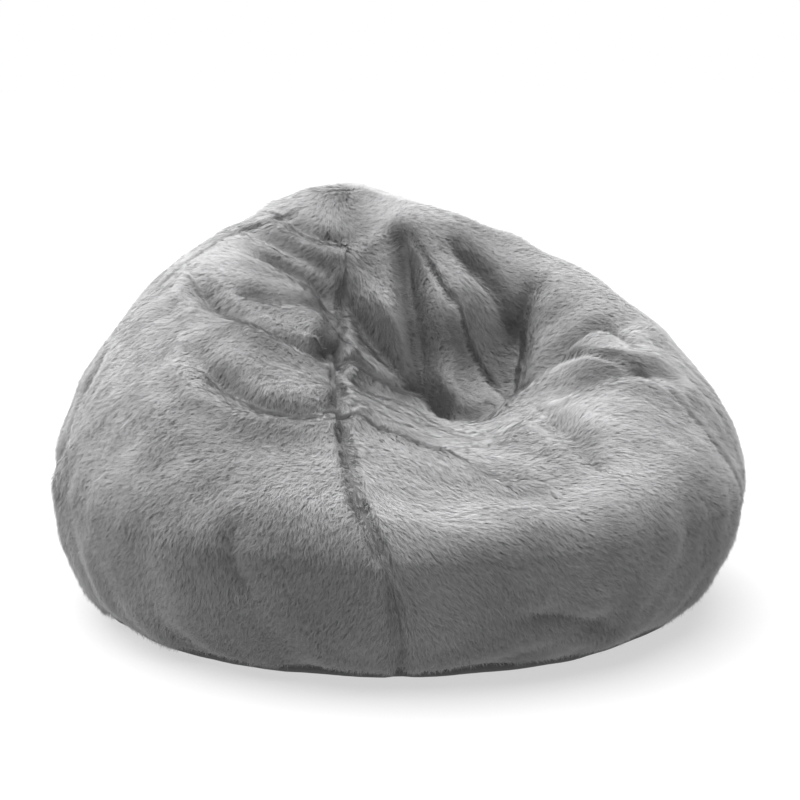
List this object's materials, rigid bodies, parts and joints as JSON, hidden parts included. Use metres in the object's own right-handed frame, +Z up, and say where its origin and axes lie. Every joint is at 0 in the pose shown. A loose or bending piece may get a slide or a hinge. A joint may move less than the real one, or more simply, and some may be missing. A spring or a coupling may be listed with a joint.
{
  "type": "bean bag chair",
  "caption": "Round slumped bean bag chair in long-pile fabric: zipped panelled cover over a zipped inner liner full of beads, with a seat hollow and a soft backrest.",
  "frame": {"origin": "on the floor under the middle of the bag", "axes": "-Y is the front, where a sitter's legs go; +X is on the right when the chair is seen from the front; +Z is up"},
  "size_m": [0.9578, 0.9175, 0.5626],
  "materials": {
    "pile_fabric": "matte",
    "base_fabric": "matte",
    "liner_fabric": "matte",
    "zip_tape": "matte",
    "zip_plastic": "satin",
    "zip_metal": "satin",
    "beads": "matte",
    "label_tape": "matte"
  },
  "bodies": {
    "bag": {"cover_panel_front_right": "pile_fabric", "cover_panel_right": "pile_fabric", "cover_panel_back": "pile_fabric", "cover_panel_left": "pile_fabric", "cover_panel_front_left": "pile_fabric", "cover_crown": "pile_fabric", "cover_base_front": "base_fabric", "cover_base_back": "base_fabric", "cover_zip_tape_front": "zip_tape", "cover_zip_tape_back": "zip_tape", "cover_zip_teeth_front": "zip_plastic", "cover_zip_teeth_back": "zip_plastic", "cover_zip_stop_left": "zip_plastic", "cover_zip_stop_right": "zip_plastic", "liner_panel_front_right": "liner_fabric", "liner_panel_right": "liner_fabric", "liner_panel_back": "liner_fabric", "liner_panel_left": "liner_fabric", "liner_panel_front_left": "liner_fabric", "liner_crown": "liner_fabric", "liner_base_front": "liner_fabric", "liner_base_back": "liner_fabric", "liner_zip_tape_front": "zip_tape", "liner_zip_tape_back": "zip_tape", "liner_zip_teeth_front": "zip_plastic", "liner_zip_teeth_back": "zip_plastic", "liner_zip_stop_left": "zip_plastic", "liner_zip_stop_right": "zip_plastic", "bead_fill": "beads", "care_label": "label_tape"},
    "cover_slider": {"cover_zip_slider": "zip_metal"},
    "liner_slider": {"liner_zip_slider": "zip_metal"}
  },
  "joints": [
    {"name": "cover_zip_slide", "type": "slide", "parent": "bag", "child": "cover_slider", "axis": [1, 0, 0], "range_m": [0, 0.47]},
    {"name": "liner_zip_slide", "type": "slide", "parent": "bag", "child": "liner_slider", "axis": [1, 0, 0], "range_m": [0, 0.47]}
  ]
}
